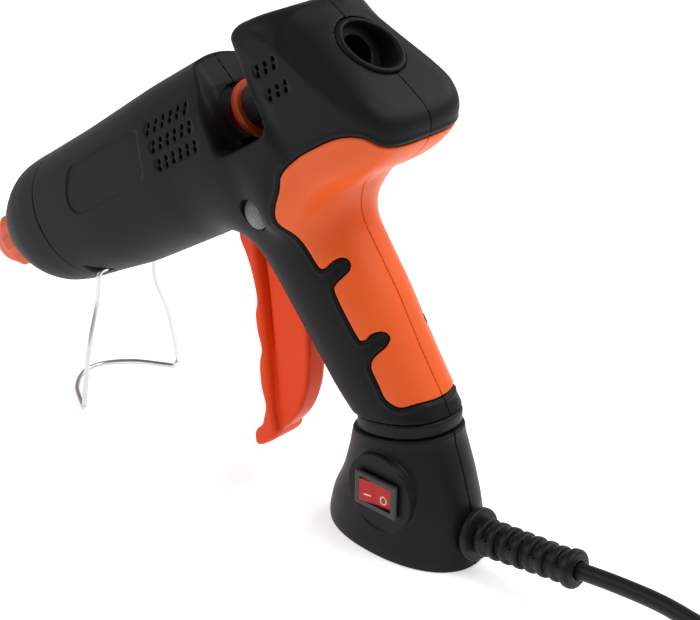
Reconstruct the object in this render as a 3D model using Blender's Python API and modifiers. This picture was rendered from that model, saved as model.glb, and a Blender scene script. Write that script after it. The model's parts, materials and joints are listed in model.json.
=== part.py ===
"""Hot glue gun on a flared stand base, with a fold-down wire stand and a mains lead.

Frame: +Z up, the nose points to -X and 34 degrees down, Y is across the gun.  The origin is the middle
of the flat bottom of the base.  The barrel has its own axis (the glue stick's): a place on it is given
as (s, o), s along the axis towards the rear and o square to it, upwards.
"""
import bpy
import bmesh
from math import atan2, cos, hypot, pi, radians, sin, sqrt
from mathutils import Matrix, Vector

MM = 0.001
GAP = 0.3                       # clearance between neighbouring pieces
WALL = 2.6                      # moulded shell wall

# Barrel axis
PITCH = radians(34)
AXIS_RISE = 161.0               # distance of the stick axis from the origin
NOSE_S = -136.0
NOZZLE_S = -104.0
COLLAR_S = -100.0               # seam between nose collar and housing
BARREL_END_S = 40.0

# Saddle gap between the barrel and the hump
GAP_FRONT_S = 9.5                # front wall of the gap near the middle plane
GAP_RIM_S = 16.5                # and at the flanks: the wall is scooped
GAP_REAR_S = 43.0
GAP_FLOOR_O = -12.5

# Handle: its centre line leans forward, sections are square to it
LEAN = radians(37)
HANDLE_AT = 25.5                # distance of the centre line from the origin, along the handle's depth

# Base and neck
NECK_RISE = radians(12)         # the neck planes rise to the rear
SKIRT_TOP = 45.5
RING_TOP = 51.5
PLATE_T = 2.4

# Feed ring and carriage
RING_R = 11.0
RING_S0, RING_S1 = 15.0, 18.4
CARRIAGE_R = 8.6
BORE_R = 6.1

# Trigger
PIN_X, PIN_Z = -66.0, 106.0
TRIGGER_Y = 8.0
WEB_Y = 5.0
FORK_S, FORK_O = 22.0, -17.0

# Wire stand
WIRE_R = 1.0
STAND_X, STAND_Z = -151.0, 58.6
STAND_TOP_Y, STAND_FOOT_Y = 14.4, 25.2
STAND_FOOT_X = -150.5
STAND_BOW = 23.5

# Switch on the left side of the base
SWITCH_X, SWITCH_Z = 1.5, 26.0
BEZEL_W, BEZEL_H = 19.0, 13.5

# Mains lead
CORD_R = 3.0
RELIEF_TILT = radians(7)
RELIEF_X, RELIEF_Z = 28.5, 13.4
RELIEF_L = 46.0

BLACK = ("black_plastic", (0.022, 0.022, 0.023), 0.55, 0.0)
ORANGE = ("orange_grip", (0.72, 0.13, 0.03), 0.55, 0.0)
RED = ("red_rocker", (0.62, 0.03, 0.02), 0.3, 0.0)
STEEL = ("bright_steel", (0.6, 0.6, 0.6), 0.25, 1.0)
ALUMINIUM = ("cast_aluminium", (0.55, 0.55, 0.56), 0.4, 1.0)
BRASS = ("brass", (0.6, 0.42, 0.16), 0.3, 1.0)
SILICONE = ("orange_silicone", (0.75, 0.16, 0.03), 0.45, 0.0)
GREY = ("grey_lens", (0.2, 0.17, 0.17), 0.25, 0.0)
CERAMIC = ("white_ceramic", (0.75, 0.73, 0.68), 0.6, 0.0)
RUBBER = ("cord_rubber", (0.02, 0.02, 0.021), 0.5, 0.0)
BLUE = ("blue_wire", (0.04, 0.12, 0.5), 0.4, 0.0)
BROWN = ("brown_wire", (0.2, 0.07, 0.03), 0.4, 0.0)

for old in list(bpy.data.objects):
    bpy.data.objects.remove(old)

parts = bpy.data.collections.new("glue_gun")
cutters = bpy.data.collections.new("cutters")
bpy.context.scene.collection.children.link(parts)
bpy.context.scene.collection.children.link(cutters)


# ---------------------------------------------------------------- places

def barrel(s, o=0.0, y=0.0):
    """A point of the barrel frame, in millimetres of the world frame."""
    rise = AXIS_RISE + o
    return Vector((s * cos(PITCH) - rise * sin(PITCH), y, s * sin(PITCH) + rise * cos(PITCH)))


FORWARD = Vector((-cos(PITCH), 0, -sin(PITCH)))
BARREL_UP = Vector((-sin(PITCH), 0, cos(PITCH)))
ACROSS = Vector((0, 1, 0))
HANDLE_BACK = Vector((cos(LEAN), 0, sin(LEAN)))
HANDLE_UP = Vector((-sin(LEAN), 0, cos(LEAN)))


def handle(height, back=0.0, y=0.0):
    """A point of the handle frame: height along it, back from its centre line."""
    return HANDLE_UP * height + HANDLE_BACK * (HANDLE_AT + back) + ACROSS * y


# ---------------------------------------------------------------- objects

def material(spec):
    name, colour, rough, metal = spec
    found = bpy.data.materials.get(name)
    if found:
        return found
    made = bpy.data.materials.new(name)
    made.use_nodes = True
    shader = made.node_tree.nodes["Principled BSDF"]
    shader.inputs["Base Color"].default_value = (*colour, 1)
    shader.inputs["Roughness"].default_value = rough
    shader.inputs["Metallic"].default_value = metal
    return made


def own_material(name, spec):
    """Each part has a material of its own, named for it."""
    return material((name + "_" + spec[0], *spec[1:]))


def place(obj, spec=None):
    """Put an object in the parts collection, or in the cutters when it has no material."""
    if spec:
        parts.objects.link(obj)
        obj.data.materials.clear()
        obj.data.materials.append(own_material(obj.name, spec))
    else:
        cutters.objects.link(obj)
        obj.hide_render = True
        obj.display_type = "WIRE"
    return obj


def from_bmesh(name, bm, spec=None, smooth=True):
    bmesh.ops.recalc_face_normals(bm, faces=bm.faces)
    mesh = bpy.data.meshes.new(name)
    bm.to_mesh(mesh)
    bm.free()
    if smooth:
        mesh.shade_smooth()
        mesh.set_sharp_from_angle(angle=radians(35))
    return place(bpy.data.objects.new(name, mesh), spec)


def bake(obj):
    """Replace an object's mesh by what its modifiers make of it."""
    view = bpy.context.evaluated_depsgraph_get()
    mesh = bpy.data.meshes.new_from_object(obj.evaluated_get(view))
    obj.modifiers.clear()
    obj.data = mesh
    return obj


def boolean(obj, tool, operation="DIFFERENCE"):
    step = obj.modifiers.new(operation.lower(), "BOOLEAN")
    step.operation = operation
    # EXACT leaves loose edges on the housing halves and empties the grip inlays, so this is MANIFOLD
    step.solver = "MANIFOLD"
    step.object = tool
    bake(obj)
    bpy.data.objects.remove(tool)
    return obj


def cut(obj, *tools):
    for tool in tools:
        boolean(obj, tool)
    return obj


def join(obj, *tools):
    for tool in tools:
        boolean(obj, tool, "UNION")
    return obj


def keep_largest(obj):
    """Drop the slivers that a cut leaves beside the main body."""
    bm = bmesh.new()
    bm.from_mesh(obj.data)
    left = set(bm.verts)
    bodies = []
    while left:
        body, edge = set(), [left.pop()]
        while edge:
            vert = edge.pop()
            body.add(vert)
            near = {e.other_vert(vert) for e in vert.link_edges} & left
            left -= near
            edge += near
        bodies.append(body)
    bodies.sort(key=len)
    bmesh.ops.delete(bm, geom=[v for body in bodies[:-1] for v in body])
    bm.to_mesh(obj.data)
    bm.free()
    return obj


def copy_of(obj, name, spec=None):
    twin = bpy.data.objects.new(name, obj.data.copy())
    twin.matrix_world = obj.matrix_world
    return place(twin, spec)


# ---------------------------------------------------------------- shapes

def superellipse(count, power):
    """Points of a unit superellipse; power 2 is a circle, more is squarer."""
    points = []
    for i in range(count):
        a = 2 * pi * i / count
        c, s = cos(a), sin(a)
        points.append((abs(c) ** (2 / power) * (1 if c > 0 else -1),
                       abs(s) ** (2 / power) * (1 if s > 0 else -1)))
    return points


def loft(name, sections, spec=None, count=28):
    """A closed skin through sections, each (centre, across, up, half_across, half_up, power)."""
    bm = bmesh.new()
    rings = []
    for centre, across, up, wide, tall, power in sections:
        rings.append([bm.verts.new((centre + across * (wide * u) + up * (tall * v)) * MM)
                      for u, v in superellipse(count, power)])
    for low, high in zip(rings, rings[1:]):
        for i in range(count):
            j = (i + 1) % count
            bm.faces.new((low[i], low[j], high[j], high[i]))
    bm.faces.new(rings[0][::-1])
    bm.faces.new(rings[-1])
    return from_bmesh(name, bm, spec)


def prism(name, outline, y0, y1, spec=None):
    """A side-view outline (x, z) as a 2D curve, extruded from y0 to y1 and made a mesh."""
    curve = bpy.data.curves.new(name, "CURVE")
    curve.dimensions = "2D"
    curve.fill_mode = "BOTH"
    curve.extrude = abs(y1 - y0) / 2 * MM
    spline = curve.splines.new("POLY")
    spline.points.add(len(outline) - 1)
    for point, (x, z) in zip(spline.points, outline):
        point.co = (x * MM, z * MM, 0, 1)
    spline.use_cyclic_u = True
    return curve_to_mesh(name, curve, spec, Matrix.Translation((0, (y0 + y1) / 2 * MM, 0))
                         @ Matrix.Rotation(pi / 2, 4, "X"))


def curve_to_mesh(name, curve, spec, where=Matrix()):
    guide = bpy.data.objects.new(name + "_curve", curve)
    cutters.objects.link(guide)
    view = bpy.context.evaluated_depsgraph_get()
    mesh = bpy.data.meshes.new_from_object(guide.evaluated_get(view))
    bpy.data.objects.remove(guide)
    bm = bmesh.new()
    bm.from_mesh(mesh)
    bmesh.ops.remove_doubles(bm, verts=bm.verts, dist=0.00001)
    bmesh.ops.transform(bm, matrix=where, verts=bm.verts)
    return from_bmesh(name, bm, spec)


def box(name, centre, size, spec=None, turn=Matrix()):
    bm = bmesh.new()
    bmesh.ops.create_cube(bm, size=1)
    bmesh.ops.scale(bm, vec=Vector(size) * MM, verts=bm.verts)
    bmesh.ops.transform(bm, matrix=Matrix.Translation(Vector(centre) * MM) @ turn, verts=bm.verts)
    return from_bmesh(name, bm, spec, smooth=False)


def bevelled(obj, width, segments=2):
    bevel = obj.modifiers.new("bevel", "BEVEL")
    bevel.width = width * MM
    bevel.segments = segments
    bevel.limit_method = "ANGLE"
    bevel.angle_limit = radians(40)
    return bake(obj)


def aim(direction):
    """Turns +Z to a direction."""
    return Vector(direction).to_track_quat("Z", "Y").to_matrix().to_4x4()


def rod(name, start, end, radius, spec=None, count=24, end_radius=None):
    start, end = Vector(start), Vector(end)
    bm = bmesh.new()
    bmesh.ops.create_cone(bm, cap_ends=True, segments=count, radius1=radius * MM,
                          radius2=(radius if end_radius is None else end_radius) * MM,
                          depth=(end - start).length * MM)
    bmesh.ops.transform(bm, matrix=Matrix.Translation((start + end) / 2 * MM) @ aim(end - start),
                        verts=bm.verts)
    return from_bmesh(name, bm, spec)


def turned(name, profile, origin, direction, spec=None, steps=32):
    """A closed (radius, height) profile turned about a direction with a Screw modifier."""
    mesh = bpy.data.meshes.new(name)
    points = [(r * MM, 0, h * MM) for r, h in profile]
    count = len(points)
    hollow = min(r for r, h in profile) > 0
    edges = [(i, i + 1) for i in range(count - 1)] + ([(count - 1, 0)] if hollow else [])
    mesh.from_pydata(points, edges, [])
    obj = bpy.data.objects.new(name, mesh)
    cutters.objects.link(obj)
    screw = obj.modifiers.new("screw", "SCREW")
    screw.steps = steps
    screw.render_steps = steps
    screw.use_merge_vertices = True
    screw.merge_threshold = 0.00001
    bake(obj)
    bm = bmesh.new()
    bm.from_mesh(obj.data)
    bpy.data.objects.remove(obj)
    bmesh.ops.remove_doubles(bm, verts=bm.verts, dist=0.00001)
    bmesh.ops.transform(bm, matrix=Matrix.Translation(Vector(origin) * MM) @ aim(direction),
                        verts=bm.verts)
    return from_bmesh(name, bm, spec)


def smooth_path(points, spacing):
    """A Catmull-Rom curve through the points, read every spacing millimetres or so."""
    points = [Vector(p) for p in points]
    ends = [points[0] * 2 - points[1], *points, points[-1] * 2 - points[-2]]
    path = []
    for a, b, c, d in zip(ends, ends[1:], ends[2:], ends[3:]):
        count = max(1, round((c - b).length / spacing))
        for i in range(count):
            t = i / count
            path.append((2 * b + (c - a) * t + (2 * a - 5 * b + 4 * c - d) * t ** 2
                         + (3 * b - a - 3 * c + d) * t ** 3) / 2)
    return path + [points[-1]]


def tube(name, path, radius, spec, sides=2):
    """A wire along a path, with filled caps; sides is the curve's bevel resolution."""
    curve = bpy.data.curves.new(name, "CURVE")
    curve.dimensions = "3D"
    curve.bevel_depth = radius * MM
    curve.bevel_resolution = sides
    curve.use_fill_caps = True
    spline = curve.splines.new("POLY")
    spline.points.add(len(path) - 1)
    for point, place_at in zip(spline.points, path):
        point.co = (*(Vector(place_at) * MM), 1)
    return curve_to_mesh(name, curve, spec)


# ---------------------------------------------------------------- housing

def barrel_form(name, inset=0.0):
    """The barrel: a round loft that is a little deeper below the stick axis."""
    stations = ((COLLAR_S, -3.0, 25.9, 27.2), (-72, -4.6, 26.6, 28.8), (-27, -4.9, 27.0, 30.2),
                (11, -4.9, 26.4, 29.8), (BARREL_END_S, -5.0, 24.4, 28.0))
    return loft(name, [(barrel(s, o), ACROSS, BARREL_UP, w - inset, t - inset, 2.1)
                       for s, o, w, t in stations])


HUMP = [(-47.4, 147), (-54.4, 157.5), (-60, 165.8), (-66, 171.2), (-68.2, 175.3), (-66.5, 179),
        (-60.5, 182.8),
        (-52, 186.8), (-46, 188.8), (-41, 188), (-24, 178), (-8, 168.7), (0, 163.4), (3.4, 158.5),
        (3.2, 152.5), (-1.5, 146.5), (-10, 140.5), (-20, 135), (-29, 129), (-38, 121), (-48, 115), (-54, 130)]
HUMP_W = 24.5
HUMP_ROUND = 8.0
HUMP_ARCH_O, HUMP_TOP_O = -6.0, 25.2


def inset_outline(outline, amount):
    """Move each point of a clockwise (x, z) outline inwards along its corner's bisector."""
    moved = []
    count = len(outline)
    for i, (x, z) in enumerate(outline):
        before, after = outline[i - 1], outline[(i + 1) % count]
        dx, dz = after[0] - before[0], after[1] - before[1]
        size = hypot(dx, dz)
        moved.append((x + dz / size * amount, z - dx / size * amount))
    return moved


def hump_form(name, inset=0.0):
    """The rear hump: its side outline, rounded towards both flanks."""
    bm = bmesh.new()
    rings = []
    half = HUMP_W - inset
    levels = (-1, -0.93, -0.8, -0.5, 0, 0.5, 0.8, 0.93, 1)
    for level in levels:
        pull = HUMP_ROUND * (1 - sqrt(max(0.0, 1 - abs(level) ** 4)))
        rings.append([bm.verts.new((x * MM, level * half * MM, z * MM))
                      for x, z in inset_outline(HUMP, inset + pull)])
    count = len(HUMP)
    for low, high in zip(rings, rings[1:]):
        for i in range(count):
            j = (i + 1) % count
            bm.faces.new((low[i], low[j], high[j], high[i]))
    bm.faces.new(rings[0])
    bm.faces.new(rings[-1][::-1])
    form = from_bmesh(name, bm)
    # Seen along the barrel it has a round top, like the barrel, and straight flanks below.
    arch = [(HUMP_W + 1.5 - inset) * cos(pi * i / 16) for i in range(17)]
    rise = [HUMP_ARCH_O + (HUMP_TOP_O - HUMP_ARCH_O - inset) * sin(pi * i / 16) for i in range(17)]
    around = [(-arch[0], -70), *[(-a, o) for a, o in zip(arch, rise)], (arch[0], -70)]
    bm = bmesh.new()
    ends = [[bm.verts.new(barrel(s, o, y) * MM) for y, o in around] for s in (20, 120)]
    count = len(around)
    for i in range(count):
        j = (i + 1) % count
        bm.faces.new((ends[0][i], ends[0][j], ends[1][j], ends[1][i]))
    bm.faces.new(ends[0][::-1])
    bm.faces.new(ends[1])
    return boolean(form, from_bmesh("arch", bm), "INTERSECT")


def neck_plane(rise, x):
    return rise + x * sin(NECK_RISE) / cos(NECK_RISE)


NECK_ALONG = Vector((cos(NECK_RISE), 0, sin(NECK_RISE)))


def handle_form(name, inset=0.0):
    """The handle: oval sections from the neck plane up into the barrel."""
    low = RING_TOP + GAP + (WALL if inset else 0)
    sections = [(Vector((-2.4, 0, neck_plane(low, -2.4))), ACROSS, NECK_ALONG,
                 16.0 - inset, 19.6 - inset, 2.3)]
    for height, back, wide, deep in ((58, 1.8, 16.6, 19.9), (80, 2.0, 16.8, 21.5), (104, 1.0, 17.4, 22.4),
                                     (124, -0.4, 18.6, 24.1), (140, 1, 20.0, 26.0)):
        sections.append((handle(height, back), ACROSS, HANDLE_BACK, wide - inset, deep - inset, 2.3))
    return loft(name, sections)


LENS = Vector((-57.4, -18.9, 113.9))
LENS_R = 5.7

SCREWS = [barrel(-88, 18.2), barrel(-60, -25.5), barrel(62, -16.0), Vector((-9, 0, 152)),
          handle(112, 7), handle(66, 4)]
SCREW_R, HEAD_R = 1.5, 3.0
HEAD_Y = 9.0                    # the heads sit this far from the middle plane, in deep wells
SCREW_TIP_Y = -11.0


# The soft grip wraps the back of the handle; two black finger tabs reach into its front edge.
GRIP = [(-41, 129), (-40, 135), (-34, 142), (-26, 148), (-16, 154), (-7, 156), (0, 153), (14, 152), (40, 120),
        (36, 76), (18, 63), (10, 61), (5, 59.2), (0, 61), (-3, 65), (-7, 71), (-6.5, 74.5), (-4, 78.5),
        (-4.4, 81.6), (-7, 83), (-9.6, 81.5), (-12, 79), (-19, 87), (-24, 94), (-24, 96.5), (-21, 101.5),
        (-22, 104.4), (-24.2, 105.4), (-26.5, 104), (-29.5, 100.5), (-33, 103), (-38, 109), (-43, 116),
        (-43, 122)]
GRIP_DEPTH = 1.3
GRIP_PROUD = 0.3


def grip_core(inset):
    return join(handle_form("core", inset), hump_form("core_hump", inset), barrel_form("core_barrel", inset))


def make_grips():
    skin = join(handle_form("skin", -GRIP_PROUD), hump_form("skin_hump", -GRIP_PROUD))
    boolean(skin, prism("grip_outline", GRIP, -40, 40), "INTERSECT")
    cut(skin, grip_core(GRIP_DEPTH))
    for name, side in (("grip_left", -1), ("grip_right", 1)):
        half = copy_of(skin, name, ORANGE)
        cut(half, box("other_side", (-10, -side * (60 - GAP / 2), 110), (220, 120, 260)))
        keep_largest(half)
    bpy.data.objects.remove(skin)


def stick_bore(name, radius, s0, s1):
    return rod(name, barrel(s0), barrel(s1), radius)


MOUTH = barrel(80.0)


def make_housing():
    shell = join(barrel_form("housing"), hump_form("hump"), handle_form("handle"))
    hollow = join(barrel_form("hollow", WALL), hump_form("hump_hollow", WALL),
                  handle_form("handle_hollow", WALL))
    gap_side = [barrel(GAP_FRONT_S - 9, 40), barrel(GAP_RIM_S - 4, 16), barrel(GAP_RIM_S, 9),
                barrel(GAP_RIM_S, GAP_FLOOR_O + 5), barrel(GAP_RIM_S + 4, GAP_FLOOR_O),
                barrel(GAP_REAR_S - 3, GAP_FLOOR_O), barrel(GAP_REAR_S, GAP_FLOOR_O + 3),
                barrel(GAP_REAR_S, 40)]
    scoop_side = [barrel(GAP_FRONT_S, 41), barrel(GAP_FRONT_S, GAP_FLOOR_O + 4),
                  barrel(GAP_FRONT_S + 3, GAP_FLOOR_O + 1), barrel(GAP_RIM_S + 6, GAP_FLOOR_O + 1),
                  barrel(GAP_RIM_S + 6, 41)]
    wall_side = [barrel(GAP_FRONT_S - WALL, 40), barrel(GAP_FRONT_S - WALL, GAP_FLOOR_O - WALL),
                 barrel(GAP_REAR_S + WALL, GAP_FLOOR_O - WALL), barrel(GAP_REAR_S + WALL, 40)]
    # The hollow stops one wall short of the gap, so the gap has walls of its own.
    cut(hollow, prism("gap_walls", [(p.x, p.z) for p in wall_side], -40, 40))
    cut(shell, prism("gap", [(p.x, p.z) for p in gap_side], -40, 40),
        prism("scoop", [(p.x, p.z) for p in scoop_side], -15, 15))
    # The hollow runs out of the front of the barrel.
    join(hollow, loft("front_opening", [(barrel(s, -3.0), ACROSS, BARREL_UP, 23.2, 24.5, 2.1)
                                        for s in (COLLAR_S - 6, COLLAR_S + 4)]))
    # And out of the bottom of the handle.
    join(hollow, rod("neck_opening", (-3, 0, 42), (-5, 0, 62), 9.0))
    bosses = [rod("boss", c + ACROSS * -25, c + ACROSS * 25, 4.6, count=16) for c in SCREWS]
    for side in (-1, 1):
        start = Vector((STAND_X, side * 4.0, STAND_Z))
        bosses.append(rod("stand_boss", start, start + ACROSS * side * 9, 4.0, count=16))
    for side in (-1, 1):
        inner = Vector((PIN_X, side * (TRIGGER_Y + 0.9), PIN_Z))
        bosses.append(rod("pin_boss", inner, inner + ACROSS * side * 16, 4.0, count=16))
    # What the hollow leaves standing inside the shell are its bosses.
    walls = cut(shell, cut(hollow, *bosses))
    # Ways for the stick, the trigger, the carriage's lug and the stand's ends.
    cut(walls,
        stick_bore("stick_front", 8.0, GAP_FRONT_S - 8, GAP_FRONT_S + 4),
        stick_bore("ring_recess", RING_R + 1, GAP_FRONT_S - 1.4, GAP_FRONT_S + 4),
        stick_bore("carriage_way", 9.4, GAP_REAR_S - 2, GAP_REAR_S + 8),
        turned("mouth_way", [(0, 20), (12.0, 20), (12.0, -5), (9.4, -7.6), (9.4, -19), (0, -19)],
               MOUTH, -FORWARD))
    lug_way = [barrel(s, o) for s, o in ((6, -30), (6, -8), (31, -8), (31, -30))]
    cut(walls, prism("lug_way", [(p.x, p.z) for p in lug_way], -6.2, 6.2))
    lever_way = [barrel(s, o) for s, o in ((38, 5), (38, 16.8), (52, 16.8), (52, 5))]
    cut(walls, prism("lever_way", [(p.x, p.z) for p in lever_way], -2.9, 2.9))
    cut(walls, prism("trigger_way", [(-93, 84), (-82, 99), (-76, 116), (-60, 116), (-57, 100), (-60, 88),
                                     (-70, 70)], -TRIGGER_Y - 0.8, TRIGGER_Y + 0.8))
    cut(walls, prism("web_way", [(-66, 100), (-58, 70), (-42, 40), (-26.5, 47), (-30, 66), (-40, 90),
                                 (-56, 108)], -WEB_Y - 0.6, WEB_Y + 0.6))
    for side in (-1, 1):
        start = Vector((STAND_X, side * 6.2, STAND_Z))
        cut(walls, rod("stand_hole", start, start + ACROSS * side * 20, WIRE_R + GAP, count=16))
        cut(walls, box("stand_pocket", (STAND_X, side * 14.7, STAND_Z - 2.4), (9, 10, 10.2)))
    for centre in SCREWS:
        cut(walls, turned("screw_way", [(0, 30), (HEAD_R + GAP, 30), (HEAD_R + GAP, HEAD_Y - 0.3),
                                        (SCREW_R + GAP, HEAD_Y - 0.3), (SCREW_R + GAP, SCREW_TIP_Y - 1),
                                        (0, SCREW_TIP_Y - 1)], centre, ACROSS, steps=16))
    pin_start = Vector((PIN_X, -14, PIN_Z))
    pin_end = Vector((PIN_X, 14, PIN_Z))
    cut(walls, rod("pin_way", pin_start, pin_end, 1.5 + GAP, count=16))
    cut(walls, rod("lens_way", LENS - ACROSS * 12, LENS + ACROSS * 6, LENS_R + GAP))
    cut(walls, cut(prism("grip_bed", inset_outline(GRIP, -GAP), -40, 40), grip_core(GRIP_DEPTH + GAP)))
    for name, side in (("housing_left", -1), ("housing_right", 1)):
        half = copy_of(walls, name, BLACK)
        cut(half, box("other_side", (-60, -side * (60 - GAP / 2), 110), (320, 120, 260)))
        keep_largest(half)
    bpy.data.objects.remove(walls)


# ---------------------------------------------------------------- barrel and its insides

def make_nose():
    stations = ((COLLAR_S - GAP, -3.0, 25.9, 27.2), (-112, -2.4, 25.6, 26.8),
                (-120, -1.8, 24.8, 25.8), (-126, -1.0, 23.2, 24.0),
                (-131, -0.3, 20.9, 21.3), (-134.4, 0, 18.6, 18.8), (NOSE_S, 0, 16.6, 16.6))
    collar = loft("nose_collar", [(barrel(s, o), ACROSS, BARREL_UP, w, t, 2.05)
                                  for s, o, w, t in stations], BLACK)
    inner = [(COLLAR_S + 2, -3.0, 23.5, 24.8), (-112, -2.4, 23.2, 24.4), (-120, -1.8, 22.4, 23.4),
             (-126, -1.0, 20.6, 21.4), (-130.5, -0.3, 18.2, 18.6), (-133, 0, 15.0, 15.0),
             (NOSE_S - 2, 0, 14.8, 14.8)]
    cut(collar, loft("collar_hollow", [(barrel(s, o), ACROSS, BARREL_UP, w, t, 2.05)
                                       for s, o, w, t in inner]))
    turned("nozzle", [(2.3, 64), (4.2, 54), (6.6, 46), (6.6, 41), (8.6, 41), (8.6, 32), (11.4, 32),
                      (11.4, 26), (8.0, 26), (8.0, 6), (4.4, 6), (4.4, 40), (1.2, 58), (1.2, 64)],
           barrel(NOZZLE_S), FORWARD, BRASS, steps=24)
    sleeve = turned("nozzle_sleeve", [(6.4, 58.5), (8.4, 57), (10.2, 53), (10.9, 46), (14.0, 45), (14.5, 42.5),
                                      (14.0, 37.5), (11.0, 36.5), (11.0, 34), (9.0, 34),
                                      (9.0, 41.4), (7.0, 41.4), (7.0, 46.2), (5.0, 53.6)],
                    barrel(NOZZLE_S), FORWARD, SILICONE, steps=36)
    for i in range(9):
        turn = 2 * pi * i / 9 + 0.07
        out = ACROSS * cos(turn) + BARREL_UP * sin(turn)
        start = barrel(NOZZLE_S) + FORWARD * 36 + out * 15.2
        cut(sleeve, rod("notch", start, start + FORWARD * 9.4, 1.9, count=12))


CHAMBER_S0 = NOZZLE_S + 1


def make_heater():
    chamber = turned("melt_chamber", [(7.6, 0), (12.5, 0), (12.5, 63), (BORE_R, 63), (BORE_R, 8), (7.6, 2)],
                     barrel(CHAMBER_S0), -FORWARD, ALUMINIUM)
    low = barrel(-73, -11.2)
    turn = Matrix.Rotation(-PITCH, 4, "Y")
    join(chamber, box("seat", low, (44, 14, 5), turn=turn))
    box("heater_element", barrel(-74, -16.2), (36, 12, 4.4), CERAMIC, turn)
    box("heater_clip", barrel(-74, -19.4), (30, 13.5, 1.2), STEEL, turn)
    rod("thermal_fuse", barrel(-80, 15.6), barrel(-66, 15.6), 2.6, STEEL, 16)
    for name, s in (("chamber_support_front", -97.5), ("chamber_support_rear", -49)):
        ring = loft(name, [(barrel(s + d, -3.4), ACROSS, BARREL_UP, 22.0, 22.6, 2.1) for d in (-1.5, 1.5)],
                    CERAMIC)
        cut(ring, rod("bore", barrel(s - 5), barrel(s + 5), 12.5 + GAP))
        if s > -60:
            cut(ring, box("seat_way", barrel(s, -12), (12, 14.6, 6), turn=turn))
        for centre in SCREWS[:2]:
            cut(ring, rod("boss_way", centre - ACROSS * 30, centre + ACROSS * 30, 5.2))
    turned("inlet_sleeve", [(7.4, 9), (7.4, 36), (10.4, 37), (10.4, 47), (BORE_R, 47), (BORE_R, 9)],
           barrel(GAP_FRONT_S - 1 + 5), FORWARD, SILICONE, steps=24)


# ---------------------------------------------------------------- feed

LEVER_S, LEVER_O = 54.0, 12.6


def side_view(points):
    """(s, o) points of the barrel frame as (x, z) of the side view."""
    return [(barrel(s, o).x, barrel(s, o).z) for s, o in points]


def make_feed():
    turned("feed_ring", [(RING_R - 0.8, 0), (RING_R, 0.9), (RING_R, 2.4), (RING_R - 0.8, 3.4), (7.4, 3.4),
                         (BORE_R, 2.0), (BORE_R, 1.2), (7.4, 0)],
           barrel(RING_S0), -FORWARD, SILICONE)
    tube_end = 60.0
    carriage = turned("feed_carriage", [(CARRIAGE_R, 0), (CARRIAGE_R, tube_end - RING_S1 - GAP),
                                        (BORE_R, tube_end - RING_S1 - GAP), (BORE_R, 0)],
                      barrel(RING_S1 + GAP), -FORWARD, BLACK)
    join(carriage, prism("lug", side_view(((19, -7.4), (26.5, -7.4), (25.5, -22.5), (18.8, -22.5))), -2.4, 2.4))
    join(carriage, prism("ears", side_view(((50.5, 7.4), (57.5, 7.4), (56.5, 15.6), (51.5, 15.6))), -5.2, 5.2))
    cut(carriage,
        prism("slot", side_view(((FORK_S - 2, -20.8), (FORK_S + 2, -20.8), (FORK_S + 2, -11.6),
                                 (FORK_S - 2, -11.6))), -5, 5),
        prism("window", side_view(((44.5, 4), (58.6, 4), (58.6, 18), (44.5, 18))), -2.5, 2.5),
        rod("lever_way", barrel(LEVER_S, LEVER_O, -9), barrel(LEVER_S, LEVER_O, 9), 1.2 + GAP, count=12))
    lever = prism("clamp_lever", side_view(((47, 6.6), (48.5, 6.2), (56.5, 10.2), (56.6, 14.6), (52.5, 15.2),
                                            (47.4, 9.6))), -2.1, 2.1, STEEL)
    cut(lever, rod("lever_bore", barrel(LEVER_S, LEVER_O, -4), barrel(LEVER_S, LEVER_O, 4), 1.2 + GAP,
                   count=12))
    rod("lever_pin", barrel(LEVER_S, LEVER_O, -6), barrel(LEVER_S, LEVER_O, 6), 1.2, STEEL, 12)
    guide = turned("rear_guide", [(11.7, 14), (11.7, -4.6), (9.1, -7.2), (9.1, -15), (BORE_R + 0.2, -15),
                                  (BORE_R + 0.4, -6), (8.0, -5), (8.0, -1.5), (9.6, -1), (9.6, 14)],
                   MOUTH, -FORWARD, BLACK)
    face = Vector((0.5, 0, sqrt(0.75)))
    above = MOUTH + face * (1.1 + 20)
    cut(guide, box("face_cut", above, (60, 60, 40), turn=Matrix.Rotation(radians(30), 4, "Y")))


# ---------------------------------------------------------------- trigger

FLANGE = [(-79, 94.5), (-75.5, 88), (-72.6, 81), (-70.4, 72), (-71.2, 66), (-70.2, 59), (-68.2, 52.5),
          (-69.2, 46), (-68.4, 37), (-66.2, 29.5), (-67, 24), (-68.2, 20), (-71.5, 16), (-70.6, 10.5),
          (-66, 12.4), (-60, 19), (-62, 30), (-64.5, 52), (-67.6, 76), (-70, 90), (-72, 100), (-78, 100)]
WEB = [(-70, 96), (-66, 72), (-62, 28), (-66, 14.4), (-61.5, 18.6), (-56, 24), (-51.4, 30.5), (-48.4, 38),
       (-46.6, 47), (-46.6, 64), (-50, 80), (-56, 92), (-61, 103), (-66, 112), (-72, 106)]


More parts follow.
